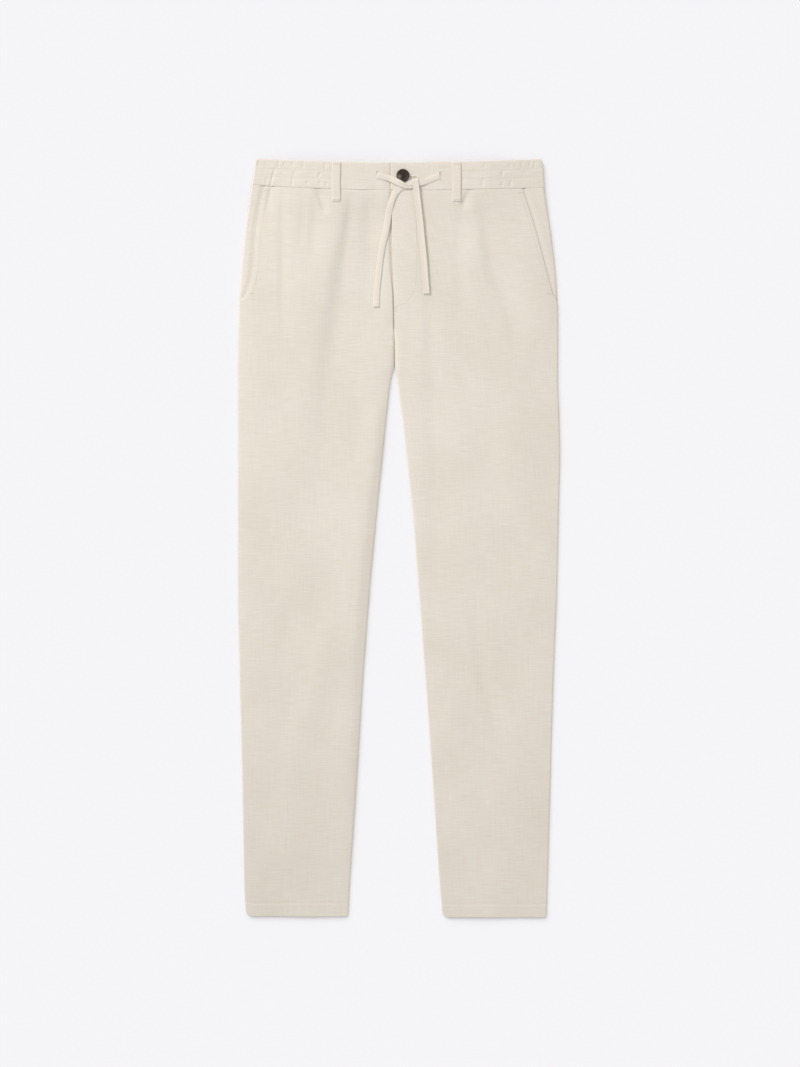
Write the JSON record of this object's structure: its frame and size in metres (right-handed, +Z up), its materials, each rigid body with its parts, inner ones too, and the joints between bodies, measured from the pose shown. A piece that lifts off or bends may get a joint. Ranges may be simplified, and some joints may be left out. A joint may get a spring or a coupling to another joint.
{
  "type": "linen chinos",
  "caption": "Pair of light linen drawstring chinos laid flat, with slanted pockets, buttoned fly, belt loops and a part-elasticated waistband.",
  "frame": {"origin": "centre of the outline, on the surface that the chinos lie on", "axes": "+Y from the hems to the waist, +X to the wearer's left, +Z up out of the front"},
  "size_m": [0.46, 1.082, 0.0133],
  "materials": {
    "linen": "plain-woven slub linen, matt",
    "drawstring": "flat woven cotton tape, matt",
    "button": "dark polished resin",
    "button_thread": "sewing thread"
  },
  "bodies": {
    "root": {"front_panel_left": "linen", "front_panel_right": "linen", "back_panel_left": "linen", "back_panel_right": "linen", "pocket_facing_left": "linen", "pocket_facing_right": "linen", "fly_shield": "linen", "waistband_front_left": "linen", "waistband_front_right": "linen", "waistband_elastic_left": "linen", "waistband_elastic_right": "linen", "belt_loop_front_left": "linen", "belt_loop_front_right": "linen", "belt_loop_back_left": "linen", "belt_loop_back_centre": "linen", "belt_loop_back_right": "linen", "button": "button", "button_thread": "button_thread", "drawstring_right_run": "drawstring", "drawstring_left_run": "drawstring", "drawstring_knot": "drawstring", "drawstring_right_tail": "drawstring", "drawstring_left_tail": "drawstring"}
  },
  "joints": []
}
